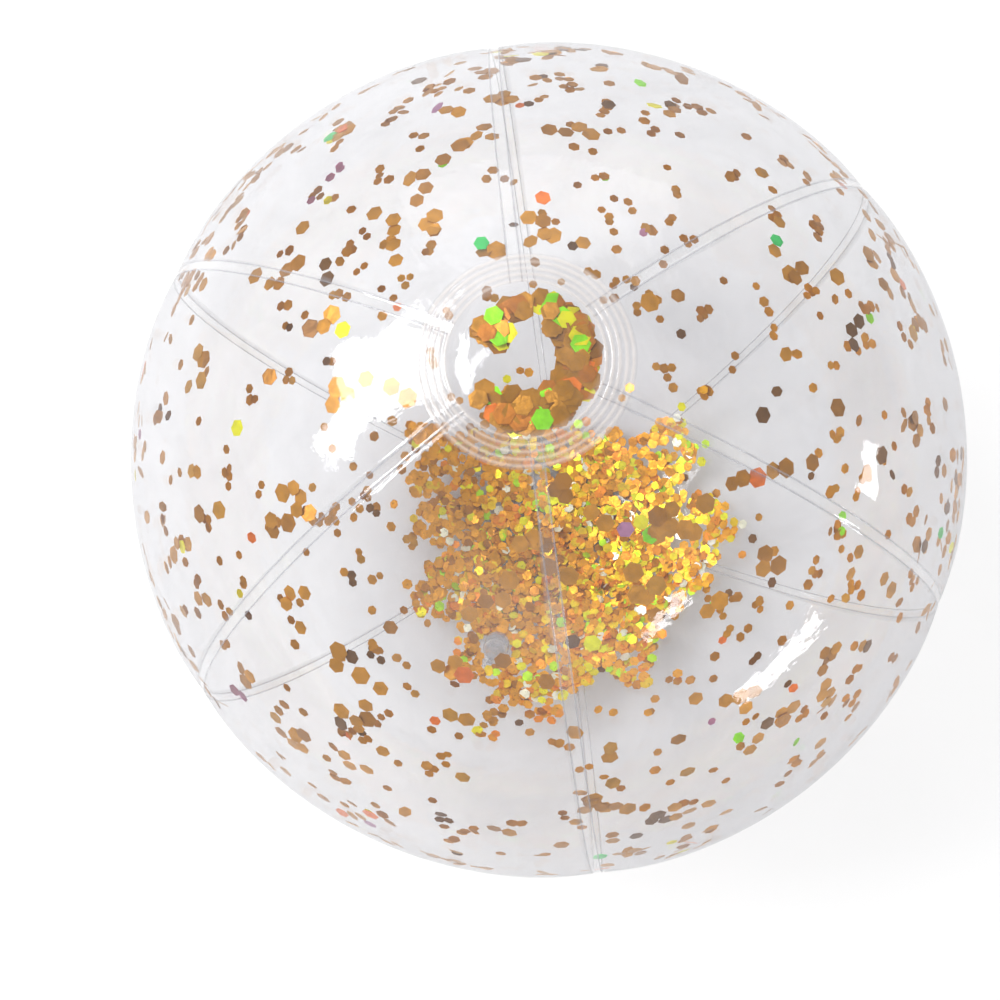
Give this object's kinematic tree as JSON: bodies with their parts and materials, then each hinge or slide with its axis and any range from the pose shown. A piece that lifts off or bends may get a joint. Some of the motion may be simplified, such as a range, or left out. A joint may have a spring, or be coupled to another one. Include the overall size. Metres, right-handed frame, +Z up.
{
  "type": "inflatable beach ball",
  "caption": "Clear inflatable beach ball of lap-welded gores with round end discs, a push-in valve and loose gold hexagon glitter inside.",
  "frame": {"origin": "on the surface the ball stands on, under the centre of the ball", "axes": "+Z up along the ball's axis from the bottom end disc to the top one"},
  "size_m": [0.3994, 0.3994, 0.3989],
  "materials": {
    "clear_vinyl": "clear glossy vinyl film",
    "disc_vinyl": "clear glossy vinyl film with ring welds",
    "valve_vinyl": "clear moulded vinyl",
    "plug_vinyl": "clear moulded vinyl",
    "flap_film": "milky vinyl film",
    "gold_glitter": "metallised holographic gold film"
  },
  "bodies": {
    "shell": {"gore_1": "clear_vinyl", "gore_2": "clear_vinyl", "gore_3": "clear_vinyl", "gore_4": "clear_vinyl", "gore_5": "clear_vinyl", "gore_6": "clear_vinyl", "top_end_disc": "disc_vinyl", "bottom_end_disc": "disc_vinyl", "valve_flange": "valve_vinyl", "cap_glitter": "gold_glitter"},
    "stem": {"valve_stem": "valve_vinyl", "plug_tether": "plug_vinyl"},
    "plug": {"valve_plug": "plug_vinyl"},
    "flap": {"check_flap": "flap_film"},
    "glitter": {"loose_glitter": "gold_glitter"}
  },
  "joints": [
    {"name": "stem_slide", "type": "slide", "parent": "shell", "child": "stem", "axis": [-0.2071, -0.4878, -0.848], "range_m": [0, 0.012]},
    {"name": "plug_swing", "type": "hinge", "parent": "stem", "child": "plug", "pos_m": [-0.04481, -0.10556, 0.0326], "axis": [-0.9205, 0.3907, 0], "range_deg": [0, 150]},
    {"name": "flap_swing", "type": "hinge", "parent": "stem", "child": "flap", "pos_m": [-0.03677, -0.08662, 0.03666], "axis": [-0.9205, 0.3907, 0], "range_deg": [0, 60]},
    {"name": "glitter_slide", "type": "hinge", "parent": "shell", "child": "glitter", "pos_m": [0, 0, 0.19819], "axis": [0.9205, -0.3907, 0], "range_deg": [0, 75]}
  ]
}
